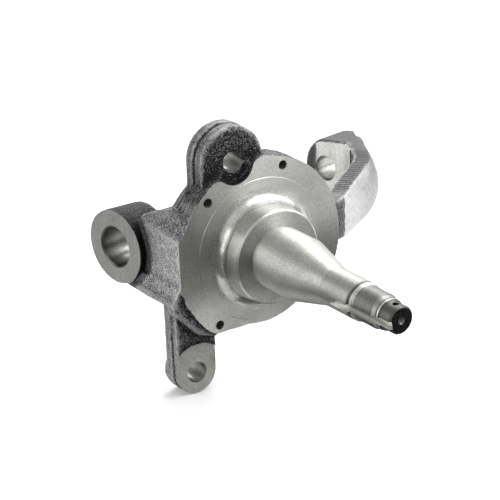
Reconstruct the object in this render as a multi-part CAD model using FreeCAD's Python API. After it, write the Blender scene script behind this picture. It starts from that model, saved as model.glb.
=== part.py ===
"""Steering knuckle: one forging with an integral wheel spindle, in millimetres.

Origin: the spindle axis where it leaves the machined front face of the flange.
-Y runs outboard along the spindle to its threaded tip, +X towards the upper
ball joint, +Z is the third direction. Both ball joints lie in the plane z = 0.
"""
import FreeCAD, Part
import math
import os

Vector = FreeCAD.Vector

# Main sizes: spindle from flange face to tip, the two ball joint faces apart, the two ear holes apart
SPINDLE_LENGTH = 108.8
LUG_DISTANCE = 156.0
EAR_HOLE_SPAN = 106.6
FLANGE_R = 47.5
BODY_BACK_Y = 32.0

# Bearing seats and the other turned sizes of the spindle. The taper takes what the rest leaves
INNER_SEAT_R = 31.75 / 2
OUTER_SEAT_R = 19.05 / 2
HUB_FILLET_R = 5.0
HUB_TOP_R = 25.0
COLLAR_R = 24.2
COLLAR_EDGE = 0.9
HUB_FILLET_END = 5.3
SHOULDER_Y = 14.1
SEAT_RELIEF = 0.35
INNER_SEAT_LENGTH = 20.6
OUTER_SEAT_LENGTH = 20.2

# Threaded end
GROOVE_R = 8.5
GROOVE_LENGTH = 2.2
RING_R = 9.35
RING_LENGTH = 0.6
RING_CHAMFER = 0.9
THREAD_R = 8.5
THREAD_LENGTH = 11.6
PLAIN_BAND_R = 7.75
PLAIN_BAND_LENGTH = 3.6
BAND_GROOVE_R = 7.0
BAND_GROOVE_LENGTH = 0.9
TIP_COLLAR_R = 7.5
TIP_COLLAR_LENGTH = 0.6
TIP_CHAMFER = 0.7
TIP_BAND_R = 6.75
TIP_BAND_LENGTH = 7.0
TIP_EDGE = 0.8
CENTRE_DRILL_R = 1.7
CENTRE_DRILL_POINT_R = 0.5
CENTRE_DRILL_DEPTH = 3.0
COTTER_HOLE_R = 1.6
COTTER_HOLE_INSET = 3.9
SEAM_TURN = 45.0

# Washer slot along the threaded end
SLOT_WIDTH = 4.0
SLOT_FLOOR_R = 5.3
SLOT_TURN = 190.0
SLOT_CUTTER_R = 20.0
SLOT_INTO_SEAT = 1.2

# Flange
FLANGE_THICKNESS = 8.0
STEP_R = 36.6
STEP_DEPTH = 0.2
DRUM_R = 46.9
DRUM_BACK_R = 38.0
DRUM_BACK_EDGE = 2.6
DRUM_SIDE_X = -47.3
DRUM_BOTTOM_Z = -39.2
DRUM_RIM_R = 47.9
DRUM_RIM_DRAFT = 1.2
DRUM_RIM_BACK_Y = 18.0
DRUM_RIM_LEFT_X = 2.0
DRUM_RIM_BOTTOM_Z = -24.0
BACK_RECESS_R = 13.0
BACK_RECESS_DEPTH = 3.0
SIDE_X = -47.5
SIDE_TOP_Z = 14.6
SIDE_BOTTOM_Z = -10.5
SHOULDER_X = -40.4
SHOULDER_TOP_Z = 25.0
LOWER_EDGE_Z = -38.4
LOWER_ARC_R = 39.4
SHIELD_HOLE_R = 2.4
SHIELD_HOLE_DEPTH = 16.0
SHIELD_HOLE_CIRCLE_R = 43.0
SHIELD_HOLE_ANGLES = (134.0, 71.0, -128.0)

# Ears
EAR_FRONT_Y = 5.0
UPPER_EAR_BACK_Y = 19.0
LOWER_EAR_FRONT_Y = 7.2
LOWER_EAR_BACK_Y = 18.5
PARTING_Y = 12.2
PARTING_GROOVE = 0.8
EAR_DRAFT = 0.4
UPPER_EAR_X = -12.0
UPPER_EAR_Z = 46.6
UPPER_EAR_R = 18.2
UPPER_HOLE_R = 5.15
BITE_R = 10.2
BITE_OFFSET_X = -1.3
BITE_BLEND_R = 5.4
LOWER_EAR_X = -36.4
LOWER_EAR_R = 11.5
LOWER_HOLE_R = 5.5
LOWER_SPOT_R = 16.3
LOWER_SPOT_Y = 8.3
BACK_SPOT_R = 11.2
BACK_SPOT_HEIGHT = 3.8
BACK_SPOT_EDGE = 1.0

NECK_FILLET_R = 13.0
SHOULDER_Z = 29.8

# Steering axis, through both ball joint holes
LOWER_JOINT_X = -55.7
LOWER_JOINT_Y = 49.4
AXIS_TILT = 11.1
LOWER_BOSS_R = 19.35
LOWER_BOSS_LENGTH = 24.0
LOWER_BOSS_TAPER = 1.6
LOWER_BOSS_EDGE = 2.6
LOWER_BORE_R = 10.25
BORE_CHAMFER = 0.8
LUG_THICKNESS = 23.5
LUG_END_R = 16.8
LUG_CAST_STOCK = 1.0
LUG_RIM_R = 5.0
LUG_ROOT = 18.0
LUG_ROOT_HALF_WIDTH = 18.6
LUG_MILL_LEFT = -7.0
LUG_MILL_RIGHT = 15.0
LUG_MILL_DEPTH = 12.0
UPPER_BORE_R = 7.0

# Upright sections along the chord from its root to the lug. Inner and outer point: share of the chord and
# distance off it. Then top z, lower front z, bottom z, swell of the front
UPRIGHT_ROOT = Vector(34.0, 18.0, 0.0)
UPRIGHT = (
    ((0.0788, 7.18), (-0.0788, -7.18), 12.0, -10.0, -14.0, 0.2),
    ((0.137, -13.39), (0.1067, -23.33), 12.4, -10.0, -14.0, 0.8),
    ((0.3869, -17.64), (0.3733, -26.78), 15.3, -11.8, -14.6, 3.8),
    ((0.6575, -20.88), (0.6439, -30.02), 18.0, -11.4, -15.6, 4.6),
    ((0.7746, -17.25), (0.7859, -26.57), 18.4, -12.4, -16.2, 4.4),
    ((0.8917, -13.62), (0.9286, -22.77), 18.2, -13.6, -16.8, 3.6),
    ((1.0612, -6.81), (1.1054, -16.58), 17.2, -14.6, -17.0, 2.0),
)

# Side block stations: distance behind the flange face, then how far shoulder, top and foot have moved from
# the first station, the height of the foot's underside and the place of the right side
SIDE_BLOCK = (
    (0.8, 0.0, 0.0, 0.0, -20.4, -12.0),
    (12.0, -1.8, 0.2, 0.0, -20.5, -12.0),
    (20.0, -3.0, -0.3, -0.3, -20.7, -12.0),
    (29.0, -3.6, -3.1, -0.5, -20.7, -18.0),
    (38.0, -3.6, -6.6, -0.7, -20.6, -28.0),
)

# Foot along the underside of the lower boss
FOOT_X = -51.6
FOOT_CREST_Z = -17.5
FOOT_START_Y = 26.0
FOOT_LENGTH = 21.0

# Places that follow from the sizes
UPPER_EAR = (UPPER_EAR_X, UPPER_EAR_Z)
LOWER_EAR = (LOWER_EAR_X, UPPER_EAR_Z - EAR_HOLE_SPAN)
BITE_CENTRE = (UPPER_EAR_X + BITE_OFFSET_X, UPPER_EAR_Z)
TIP_BAND_START = SPINDLE_LENGTH - TIP_BAND_LENGTH
TIP_COLLAR_START = TIP_BAND_START - TIP_CHAMFER - TIP_COLLAR_LENGTH
PLAIN_BAND_END = TIP_COLLAR_START - BAND_GROOVE_LENGTH
THREAD_END = PLAIN_BAND_END - PLAIN_BAND_LENGTH
THREAD_START = THREAD_END - THREAD_LENGTH
RING_START = THREAD_START - RING_CHAMFER - RING_LENGTH
OUTER_SEAT_END = RING_START - GROOVE_LENGTH
OUTER_SEAT_START = OUTER_SEAT_END - OUTER_SEAT_LENGTH
INNER_SEAT_END = SHOULDER_Y + INNER_SEAT_LENGTH
REACH = FLANGE_R + UPPER_EAR_R

AXIS_START = Vector(LOWER_JOINT_X, LOWER_JOINT_Y, 0.0)
AXIS = Vector(math.cos(math.radians(AXIS_TILT)), math.sin(math.radians(AXIS_TILT)), 0.0)
ACROSS = Vector(AXIS.y, -AXIS.x, 0.0)
OUTBOARD = Vector(0, -1, 0)
INBOARD = Vector(0, 1, 0)


def polar(radius, degrees, centre=(0.0, 0.0)):
    """Point in the flange plane, as (x, z)."""
    angle = math.radians(degrees)
    return (centre[0] + radius * math.cos(angle), centre[1] + radius * math.sin(angle))


def at_y(point, y):
    return Vector(point[0], y, point[1])


def arc(start, middle, end, y):
    return Part.Arc(at_y(start, y), at_y(middle, y), at_y(end, y)).toShape()


def line(start, end, y):
    return Part.makeLine(at_y(start, y), at_y(end, y))


def prism_y(points, y_start, y_end):
    """Polygon of (x, z) points carried along Y."""
    corners = [at_y(p, y_start) for p in points]
    face = Part.Face(Part.makePolygon(corners + corners[:1]))
    return face.extrude(Vector(0, y_end - y_start, 0))


def prism_z(points, z_start, z_end):
    """Polygon of (x, y) points carried along Z."""
    corners = [Vector(p[0], p[1], z_start) for p in points]
    face = Part.Face(Part.makePolygon(corners + corners[:1]))
    return face.extrude(Vector(0, 0, z_end - z_start))


def on_axis(distance, across=0.0, z=0.0):
    """Point given by its distance along the steering axis, and off it."""
    return AXIS_START + AXIS * distance + ACROSS * across + Vector(0, 0, z)


def rod_y(radius, centre, y_start, y_end):
    return Part.makeCylinder(radius, y_end - y_start, at_y(centre, y_start), INBOARD)


def oriented_box(corner, along, across, height):
    """Box with its sides along the steering axis, across it and along Z."""
    face = Part.Face(Part.makePolygon([corner, corner + AXIS * along, corner + AXIS * along + ACROSS * across,
                                       corner + ACROSS * across, corner]))
    return face.extrude(Vector(0, 0, height))


def near_plane(edge, distance):
    """True for an edge that lies in the plane at this distance along the steering axis."""
    return all(abs((v.Point - AXIS_START).dot(AXIS) - distance) < 0.01 for v in edge.Vertexes)


def across_of(edge):
    return (edge.CenterOfMass - AXIS_START).dot(ACROSS)


def round_edges(solid, radius, chosen):
    """Fillet the edges that the test picks."""
    edges = [e for e in solid.Edges if chosen(e)]
    return solid.makeFillet(radius, edges)


def bevel_edges(solid, size, chosen):
    """Bevel the edges that the test picks."""
    return solid.makeChamfer(size, [e for e in solid.Edges if chosen(e)])


def spindle():
    """Turned spindle: hub fillet, bearing seats, thread relief and tip."""
    fillet_r = HUB_TOP_R + HUB_FILLET_R
    bend = HUB_FILLET_R * (1 - math.sqrt(0.5))
    profile = [
        (HUB_TOP_R, HUB_FILLET_END),
        (COLLAR_R + 0.3, HUB_FILLET_END),
        (COLLAR_R, SHOULDER_Y - COLLAR_EDGE),
        (COLLAR_R - COLLAR_EDGE, SHOULDER_Y),
        (INNER_SEAT_R - SEAT_RELIEF, SHOULDER_Y),
        (INNER_SEAT_R - SEAT_RELIEF, SHOULDER_Y + 1.2),
        (INNER_SEAT_R, SHOULDER_Y + 1.6),
        (INNER_SEAT_R, INNER_SEAT_END),
        (OUTER_SEAT_R, OUTER_SEAT_START),
        (OUTER_SEAT_R, OUTER_SEAT_END - 0.3),
        (OUTER_SEAT_R - 0.3, OUTER_SEAT_END),
        (GROOVE_R, OUTER_SEAT_END + 0.3),
        (GROOVE_R, RING_START - 0.3),
        (RING_R, RING_START),
        (RING_R, RING_START + RING_LENGTH),
        (THREAD_R, THREAD_START),
        (THREAD_R, THREAD_END),
        (PLAIN_BAND_R, THREAD_END + 0.9),
        (PLAIN_BAND_R, PLAIN_BAND_END),
        (BAND_GROOVE_R, PLAIN_BAND_END + 0.1),
        (BAND_GROOVE_R, TIP_COLLAR_START - 0.1),
        (TIP_COLLAR_R, TIP_COLLAR_START),
        (TIP_COLLAR_R, TIP_COLLAR_START + TIP_COLLAR_LENGTH),
        (TIP_BAND_R, TIP_BAND_START),
        (TIP_BAND_R, SPINDLE_LENGTH - TIP_EDGE),
        (TIP_BAND_R - TIP_EDGE, SPINDLE_LENGTH),
        (0.0, SPINDLE_LENGTH),
    ]
    corners = [Vector(radius, -out, 0) for radius, out in profile]
    root = Vector(fillet_r, 0, 0)
    middle = Vector(HUB_TOP_R + bend, -HUB_FILLET_END + bend, 0)
    start = Vector(0, BODY_BACK_Y / 2, 0)
    corner = Vector(fillet_r, BODY_BACK_Y / 2, 0)
    edges = [Part.makeLine(start, corner), Part.makeLine(corner, root)]
    edges.append(Part.Arc(root, middle, corners[0]).toShape())
    edges += [Part.makeLine(a, b) for a, b in zip(corners, corners[1:])]
    edges.append(Part.makeLine(corners[-1], start))
    turned = Part.Face(Part.Wire(edges)).revolve(Vector(0, 0, 0), Vector(0, 1, 0), 360)
    turned.rotate(Vector(0, 0, 0), Vector(0, 1, 0), -SEAM_TURN)
    return turned


def washer_slot():
    """Slot of a side mill for the tanged washer, running out in the outer seat."""
    long_end = SPINDLE_LENGTH + 5
    full_depth = OUTER_SEAT_END - SLOT_INTO_SEAT
    cutter_centre = SLOT_FLOOR_R + SLOT_CUTTER_R
    straight = Part.makeBox(
        SLOT_CUTTER_R, long_end - full_depth, SLOT_WIDTH,
        Vector(SLOT_FLOOR_R, -long_end, -SLOT_WIDTH / 2))
    run_out = Part.makeCylinder(
        SLOT_CUTTER_R, SLOT_WIDTH,
        Vector(cutter_centre, -full_depth, -SLOT_WIDTH / 2), Vector(0, 0, 1))
    slot = straight.fuse(run_out)
    slot.rotate(Vector(0, 0, 0), Vector(0, 1, 0), -SLOT_TURN)
    return slot


def flange():
    """Machined flange with the bite that clears the upper ear's bolt."""
    right_low = polar(FLANGE_R, -22)
    side_top = polar(FLANGE_R, 157)
    side_low = polar(FLANGE_R, -163)
    left_low = polar(FLANGE_R, -130)
    lower_left = (-25.5, LOWER_EDGE_Z)
    lower_mid = (-math.sqrt(LOWER_ARC_R**2 - LOWER_EDGE_Z**2), LOWER_EDGE_Z)
    lower_right = polar(LOWER_ARC_R, -38)
    edges = [
        arc(right_low, polar(FLANGE_R, 70), side_top, 0),
        line(side_top, (SIDE_X, SIDE_TOP_Z), 0),
        line((SIDE_X, SIDE_TOP_Z), (SIDE_X, SIDE_BOTTOM_Z), 0),
        line((SIDE_X, SIDE_BOTTOM_Z), side_low, 0),
        arc(side_low, polar(FLANGE_R, -146), left_low, 0),
        arc(left_low, (-28.2, -37.9), lower_left, 0),
        line(lower_left, lower_mid, 0),
        arc(lower_mid, polar(LOWER_ARC_R, -70), lower_right, 0),
        line(lower_right, right_low, 0),
    ]
    plate = Part.Face(Part.Wire(edges)).extrude(INBOARD * FLANGE_THICKNESS)
    plate = plate.cut(rod_y(BITE_R, BITE_CENTRE, -1, FLANGE_THICKNESS + 1))
    return round_edges(plate, BITE_BLEND_R, is_bite_corner)


def is_bite_corner(edge):
    """True for an edge where the bite meets the flange's round rim."""
    on_rim = all(abs(math.hypot(v.X, v.Z) - FLANGE_R) < 0.01 for v in edge.Vertexes)
    on_bite = all(abs(math.hypot(v.X - BITE_CENTRE[0], v.Z - BITE_CENTRE[1]) - BITE_R) < 0.01
                  for v in edge.Vertexes)
    return on_rim and on_bite and edge.BoundBox.YLength > FLANGE_THICKNESS / 2


def drum():
    """Round body behind the flange, drafted both ways from the parting plane."""
    front = Part.makeCone(DRUM_R - 0.9, DRUM_R, PARTING_Y - 4, Vector(0, 4, 0), INBOARD)
    back = Part.makeCone(DRUM_R, DRUM_BACK_R, BODY_BACK_Y - PARTING_Y, Vector(0, PARTING_Y, 0), INBOARD)
    back = bevel_edges(back, DRUM_BACK_EDGE, lambda e: e.BoundBox.YMin > BODY_BACK_Y - 0.01)
    rim_front = Part.makeCone(DRUM_RIM_R - DRUM_RIM_DRAFT, DRUM_RIM_R, PARTING_Y - 5, Vector(0, 5, 0), INBOARD)
    rim_back = Part.makeCone(DRUM_RIM_R, DRUM_RIM_R - DRUM_RIM_DRAFT, DRUM_RIM_BACK_Y - PARTING_Y,
                             Vector(0, PARTING_Y, 0), INBOARD)
    rim_side = Part.makeBox(REACH, REACH, REACH - DRUM_RIM_BOTTOM_Z, Vector(DRUM_RIM_LEFT_X, -1, DRUM_RIM_BOTTOM_Z))
    rim = rim_front.fuse(rim_back).common(rim_side)
    below = prism_y([(-REACH, DRUM_BOTTOM_Z), (REACH, DRUM_BOTTOM_Z), (REACH, -REACH), (-REACH, -REACH)], -1, REACH)
    side = prism_y([(DRUM_SIDE_X, -REACH), (DRUM_SIDE_X, REACH), (-REACH, REACH), (-REACH, -REACH)], -1, REACH)
    lower_sector = prism_y([(0, 0), polar(2 * REACH, -90), polar(2 * REACH, -30)], -1, REACH)
    lower_sector = lower_sector.cut(rod_y(LOWER_ARC_R - 0.4, (0, 0), -2, REACH + 1))
    return front.fuse([back, rim]).cut([below, side, lower_sector])


def rounded_face(corners, y):
    """Face in the plane y from (x, z, corner radius) points, in order."""
    count = len(corners)
    starts, ends, middles = [], [], []
    for i, (x, z, radius) in enumerate(corners):
        here = Vector(x, y, z)
        before = at_y(corners[i - 1][:2], y) - here
        after = at_y(corners[(i + 1) % count][:2], y) - here
        before.normalize()
        after.normalize()
        half = before.getAngle(after) / 2
        reach = radius / math.tan(half)
        centre_line = before + after
        centre_line.normalize()
        starts.append(here + before * reach)
        ends.append(here + after * reach)
        middles.append(here + centre_line * (radius / math.sin(half) - radius))
    edges = []
    for i in range(count):
        if corners[i][2] > 0:
            edges.append(Part.Arc(starts[i], middles[i], ends[i]).toShape())
        following = starts[(i + 1) % count]
        if ends[i].distanceToPoint(following) > 1e-3:
            edges.append(Part.makeLine(ends[i], following))
    return Part.Face(Part.Wire(edges))


def ear_outline(y, ear, inset=0.0):
    """One ear and the body side that it grows from, at the given distance from the flange face."""
    shoulder = [
        (SHOULDER_X, SHOULDER_TOP_Z, 2.0),
        (SIDE_X + 3.2, SIDE_TOP_Z + 3.0, 3.0),
        (SIDE_X + 0.2 + inset, SIDE_TOP_Z - 0.4, 2.0),
        (SIDE_X + 0.2 + inset, -10.0, 2.0),
    ]
    if ear == "upper":
        left = UPPER_EAR[0] - UPPER_EAR_R + inset
        right = UPPER_EAR[0] + UPPER_EAR_R - inset
        top = UPPER_EAR[1] + UPPER_EAR_R - inset
        radius = UPPER_EAR_R - inset
        corners = [(right, top, radius), (left, top, radius), (left, SHOULDER_Z, NECK_FILLET_R)]
        corners += shoulder + [(-20.0, -10.0, 0.0), (right, 0.0, 0.0)]
    else:
        left = LOWER_EAR[0] - LOWER_EAR_R + inset
        right = LOWER_EAR[0] + LOWER_EAR_R - inset
        bottom = LOWER_EAR[1] - LOWER_EAR_R + inset
        radius = LOWER_EAR_R - inset
        corners = [(left, -19.0, 0.0), (left, bottom, radius), (right, bottom, radius), (right, -19.0, 0.0)]
    return rounded_face(corners, y)


def ear(name, front_y, back_y):
    """Ear in two halves, with the groove of the parting line between them."""
    parting_front = PARTING_Y - PARTING_GROOVE / 2
    parting_back = PARTING_Y + PARTING_GROOVE / 2
    front = ear_outline(front_y, name, EAR_DRAFT).extrude(INBOARD * (parting_front - front_y))
    groove = ear_outline(parting_front, name, PARTING_GROOVE).extrude(INBOARD * PARTING_GROOVE)
    back = ear_outline(parting_back, name).extrude(INBOARD * (back_y - parting_back))
    return front.fuse([groove, back])


def ears():
    back_end = LOWER_EAR_BACK_Y + BACK_SPOT_HEIGHT
    back_spot = rod_y(BACK_SPOT_R, LOWER_EAR, PARTING_Y + 2, back_end)
    back_spot = bevel_edges(back_spot, BACK_SPOT_EDGE, lambda e: abs(e.BoundBox.YMin - back_end) < 0.01)
    upper = ear("upper", EAR_FRONT_Y, UPPER_EAR_BACK_Y)
    lower = ear("lower", LOWER_EAR_FRONT_Y, LOWER_EAR_BACK_Y)
    return upper.fuse([lower, back_spot])


def lower_rim():
    """Rounded cast rim below and left of the machined flange."""
    corners = [(SIDE_X, -9.0, 0), (FOOT_X, FOOT_CREST_Z, 2), (FOOT_X + 2.0, -24.0, 4), (-38.0, -37.0, 6),
               (-27.5, -40.8, 0), (-20.0, -30.0, 0), (-20.0, -9.0, 0)]
    rim = rounded_face(corners, 1.0).extrude(INBOARD * 9)
    return round_edges(rim, 3.0, lambda e: e.CenterOfMass.y < 1.1 and e.CenterOfMass.x < -22 and e.CenterOfMass.z < -12)


def loft_y(sections):
    """Smooth solid through rounded sections given as (y, corners)."""
    wires = [rounded_face(corners, y).OuterWire for y, corners in sections]
    return Part.makeLoft(wires, True, False)


def side_block():
    """Block that carries the lower ball joint boss, with its foot along the boss."""
    stations = []
    for y, shoulder_shift, top_shift, foot_shift, foot_z, right in SIDE_BLOCK:
        shoulder = SHOULDER_X + shoulder_shift
        top = SHOULDER_TOP_Z + top_shift
        foot_x = FOOT_X + foot_shift
        mid_x = (SIDE_X + shoulder) / 2 - 0.6
        stations.append((y, [
            (SIDE_X, SIDE_TOP_Z, 3.0), (mid_x, SIDE_TOP_Z + 3.2, 3.0), (shoulder, top, 5.0),
            (right, top, 0.0), (right, foot_z, 0.0), (foot_x, foot_z, 1.5), (foot_x, FOOT_CREST_Z, 1.5),
            (SIDE_X, -9.0, 4.0)]))
    return loft_y(stations)


def foot():
    """Foot that runs on from the block, along the underside of the boss."""
    near = [(-48.0, -10.0, 1.0), (FOOT_X - 0.4, FOOT_CREST_Z, 1.5), (FOOT_X - 0.4, -20.7, 1.5), (-28.0, -20.7, 0.0),
            (-28.0, -10.0, 0.0)]
    far = [(-53.0, -10.0, 1.0), (FOOT_X - 1.2, -15.5, 1.5), (FOOT_X - 1.2, -20.2, 1.5), (-38.0, -20.2, 0.0),
           (-38.0, -10.0, 0.0)]
    return loft_y([(FOOT_START_Y, near), (FOOT_START_Y + FOOT_LENGTH, far)])


def lower_boss():
    """Drafted round boss, milled flat on its outer end."""
    back_r = LOWER_BOSS_R - LOWER_BOSS_TAPER
    boss = Part.makeCone(LOWER_BOSS_R, back_r, LOWER_BOSS_LENGTH, AXIS_START, AXIS)
    return bevel_edges(boss, LOWER_BOSS_EDGE, lambda e: near_plane(e, LOWER_BOSS_LENGTH))


def beside_chord(share, off):
    """Point beside the chord that runs from the upright's root to the lug."""
    chord = on_axis(LUG_DISTANCE) - UPRIGHT_ROOT
    aside = Vector(-chord.y, chord.x, 0)
    aside.normalize()
    return UPRIGHT_ROOT + chord * share + aside * off


def bar_section(inner, outer, top, low_front, bottom, swell):
    """Section of the upright: flat side and back, and a front that swells outboard."""
    inner = beside_chord(*inner)
    outer = beside_chord(*outer)
    out = outer - inner
    out.normalize()
    high = outer + Vector(0, 0, top)
    low = outer + Vector(0, 0, low_front)
    crest = outer + out * swell + Vector(0, 0, (top + low_front) / 2)
    inner_high = inner + Vector(0, 0, top)
    inner_low = inner + Vector(0, 0, bottom)
    return Part.Wire([
        Part.makeLine(inner_low, inner_high),
        Part.makeLine(inner_high, high),
        Part.Arc(high, crest, low).toShape(),
        Part.makeLine(low, inner_low),
    ])


def hook():
    """Upright that curves inboard and carries the upper ball joint lug."""
    sections = [bar_section(*numbers) for numbers in UPRIGHT]
    upright = Part.makeLoft(sections, True, False)
    start = LUG_DISTANCE - LUG_CAST_STOCK
    width = [(0.0, LUG_END_R), (LUG_ROOT, LUG_ROOT_HALF_WIDTH),
             (LUG_ROOT, -LUG_ROOT_HALF_WIDTH), (0.0, -LUG_END_R)]
    corners = [on_axis(start, across, z) for across, z in width]
    lines = [Part.makeLine(a, b) for a, b in zip(corners, corners[1:])]
    end = Part.Arc(corners[-1], on_axis(start, -LUG_END_R), corners[0]).toShape()
    lug = Part.Face(Part.Wire(lines + [end])).extrude(AXIS * (LUG_THICKNESS + LUG_CAST_STOCK))
    bevel = [on_axis(LUG_DISTANCE + LUG_THICKNESS + 1, -0.5), on_axis(LUG_DISTANCE + 17.0, 9.3),
             on_axis(LUG_DISTANCE + 9.3, 20.7), on_axis(LUG_DISTANCE + 40, 20.7), on_axis(LUG_DISTANCE + 40, -0.5)]
    lug = lug.cut(prism_z([(p.x, p.y) for p in bevel], -30, 30))
    lug = round_edges(lug, LUG_RIM_R, lambda e: near_plane(e, start) and across_of(e) < LUG_ROOT - 1)
    return upright.fuse(lug)


def bore_chamfer(radius, size, mouth, inward):
    """Cone that opens the mouth of a bore by the chamfer size."""
    return Part.makeCone(radius + 2 * size, radius, 2 * size, mouth - inward * size, inward)


def knuckle():
    solid = drum().fuse([flange(), ears(), lower_rim(), side_block(), foot(), lower_boss(), hook(), spindle()])
    solid = solid.removeSplitter()
    cuts = [washer_slot()]
    cuts.append(Part.makeCylinder(LOWER_BORE_R, LOWER_BOSS_LENGTH + 40, on_axis(-5), AXIS))
    cuts.append(Part.makeCylinder(UPPER_BORE_R, REACH, on_axis(LUG_DISTANCE - 20), AXIS))
    cuts.append(rod_y(UPPER_HOLE_R, UPPER_EAR, -5, REACH))
    cuts.append(rod_y(LOWER_HOLE_R, LOWER_EAR, -5, REACH))
    mill_start = on_axis(LUG_DISTANCE - LUG_MILL_DEPTH, LUG_MILL_LEFT, -REACH / 2)
    cuts.append(oriented_box(mill_start, LUG_MILL_DEPTH, LUG_MILL_RIGHT - LUG_MILL_LEFT, REACH))
    cuts.append(rod_y(LOWER_SPOT_R, LOWER_EAR, -5, LOWER_SPOT_Y))
    for angle in SHIELD_HOLE_ANGLES:
        cuts.append(rod_y(SHIELD_HOLE_R, polar(SHIELD_HOLE_CIRCLE_R, angle), -1, SHIELD_HOLE_DEPTH))
    step = rod_y(REACH, (0, 0), -1, STEP_DEPTH).cut(rod_y(STEP_R, (0, 0), -2, STEP_DEPTH + 1))
    cuts.append(step)
    tip = Vector(0, -SPINDLE_LENGTH, 0)
    cuts.append(Part.makeCone(CENTRE_DRILL_R, CENTRE_DRILL_POINT_R, CENTRE_DRILL_DEPTH, tip, INBOARD))
    cotter_start = Vector(0, COTTER_HOLE_INSET - SPINDLE_LENGTH, -2 * TIP_BAND_R)
    cuts.append(Part.makeCylinder(COTTER_HOLE_R, 4 * TIP_BAND_R, cotter_start))
    cuts.append(bore_chamfer(LOWER_BORE_R, BORE_CHAMFER, on_axis(0), AXIS))
    cuts.append(bore_chamfer(UPPER_BORE_R, BORE_CHAMFER / 2, on_axis(LUG_DISTANCE), AXIS))
    back_face = Vector(0, BODY_BACK_Y, 0)
    cuts.append(Part.makeCone(BACK_RECESS_R, BACK_RECESS_R - 1.5, BACK_RECESS_DEPTH, back_face, OUTBOARD))
    body = solid.cut(cuts)
    return body.Solids[0]


os.makedirs("parts", exist_ok=True)
part = knuckle()
part.exportStep("parts/steering_knuckle.step")
print(part.ShapeType, part.isValid(), round(part.Volume / 1000, 1), part.BoundBox)
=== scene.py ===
"""Looks of the steering knuckle: a rough casting, and the machined faces that are cut out of it.

Lengths are millimetres, in the frame of the CAD part, until MM turns them into metres for a mesh or a
shader. The lamps are given in metres.
"""
import math

import bmesh
import bpy
import numpy as np
from mathutils import Matrix, Vector, noise


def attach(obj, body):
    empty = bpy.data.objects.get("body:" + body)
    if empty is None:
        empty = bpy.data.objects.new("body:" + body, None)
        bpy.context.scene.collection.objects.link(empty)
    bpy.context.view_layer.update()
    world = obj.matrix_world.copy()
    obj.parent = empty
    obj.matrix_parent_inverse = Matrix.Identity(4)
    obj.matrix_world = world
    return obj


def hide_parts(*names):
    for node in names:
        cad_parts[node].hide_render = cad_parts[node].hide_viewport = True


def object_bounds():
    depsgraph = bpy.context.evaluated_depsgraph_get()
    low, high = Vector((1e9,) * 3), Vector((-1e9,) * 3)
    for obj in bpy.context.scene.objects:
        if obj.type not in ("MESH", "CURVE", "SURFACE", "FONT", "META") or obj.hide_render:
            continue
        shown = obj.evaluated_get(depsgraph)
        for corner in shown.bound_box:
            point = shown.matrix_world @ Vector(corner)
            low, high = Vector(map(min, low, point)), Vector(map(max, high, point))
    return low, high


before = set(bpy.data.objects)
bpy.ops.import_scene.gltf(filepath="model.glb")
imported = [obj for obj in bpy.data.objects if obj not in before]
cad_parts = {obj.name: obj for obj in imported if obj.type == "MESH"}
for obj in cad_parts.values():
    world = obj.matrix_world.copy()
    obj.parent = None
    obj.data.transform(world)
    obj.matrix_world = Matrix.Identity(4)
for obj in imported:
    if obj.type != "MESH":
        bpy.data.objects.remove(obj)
cad_low, cad_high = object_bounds()

MM = 0.001
NODE = "steering_knuckle"
BODY = "root"

# Sizes of the part that the machining cuts need
FLANGE_STEP_R = 36.6
FLANGE_STEP_CHAMFER = 0.18
FLANGE_STEP_DEPTH = 0.2
HUB_POCKET_DEPTH = 2.5
SHIELD_HOLE_R = 2.4
SHIELD_HOLE_DEPTH = 16.0
SHIELD_HOLE_CIRCLE_R = 43.0
SHIELD_HOLE_ANGLES = (134.0, 71.0, -128.0)
UPPER_EAR = (-12.0, 46.6)
UPPER_HOLE_R = 5.15
LOWER_EAR = (-36.4, -60.0)
LOWER_HOLE_R = 5.5
LOWER_SPOT_R = 16.3
LOWER_SPOT_Y = 8.3
AXIS_START = np.array([-55.7, 49.4, 0.0])
AXIS_TILT = math.radians(11.1)
AXIS = np.array([math.cos(AXIS_TILT), math.sin(AXIS_TILT), 0.0])
ACROSS = np.array([AXIS[1], -AXIS[0], 0.0])
LOWER_BORE_R = 10.25
LOWER_BOSS_R = 19.35
BORE_CHAMFER = 0.8
UPPER_BORE_R = 7.0
LUG_DISTANCE = 156.0
LUG_MILL_LEFT = -7.0
UPRIGHT_ROOT = np.array([34.0, 18.0, 0.0])

# Wall and fillet beside the milled nut face
NUT_WALL_ACROSS = 16.3
NUT_WALL_SLOPE = math.radians(37.6)
NUT_FILLET_R = 14.0
NUT_FILLET_STEPS = 8
NUT_MILL_END = 26.0
NUT_MILL_PAST_LEFT = 0.6

# Cutters: where they start outside the part, how far they reach, and their clearances
CUTTER_DEPTH = 12.0
FRONT_CUTTER_HALF = 80.0
FRONT_CUTTER_START_Y = -130.0
NUT_CUTTER_HALF = 30.0
HOLE_START_Y = -5.0
SHIELD_HOLE_START_Y = -3.0
EAR_BORE_LENGTH = 60.0
LOWER_BORE_START = -6.0
LOWER_BORE_LENGTH = 70.0
UPPER_BORE_START = LUG_DISTANCE - 20.0
UPPER_BORE_LENGTH = 60.0
POCKET_CLEARANCE = 0.2
BOSS_CLEARANCE = 0.8

# Casting mesh
VOXEL = 0.62
CAST_TRIANGLES = 190000
SMOOTH_STEPS = 3
CAST_SHARP_ANGLE = 32.0
LUG_NOTCH = (116.8, 74.3)
NOTCH_SMOOTH_R = 5.5
NOTCH_SMOOTH_STEPS = 30

# Relief of the cast skin: size of its swells and their height, from wide to fine
RELIEF = ((14.0, 0.16), (4.5, 0.10), (1.7, 0.10))

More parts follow.
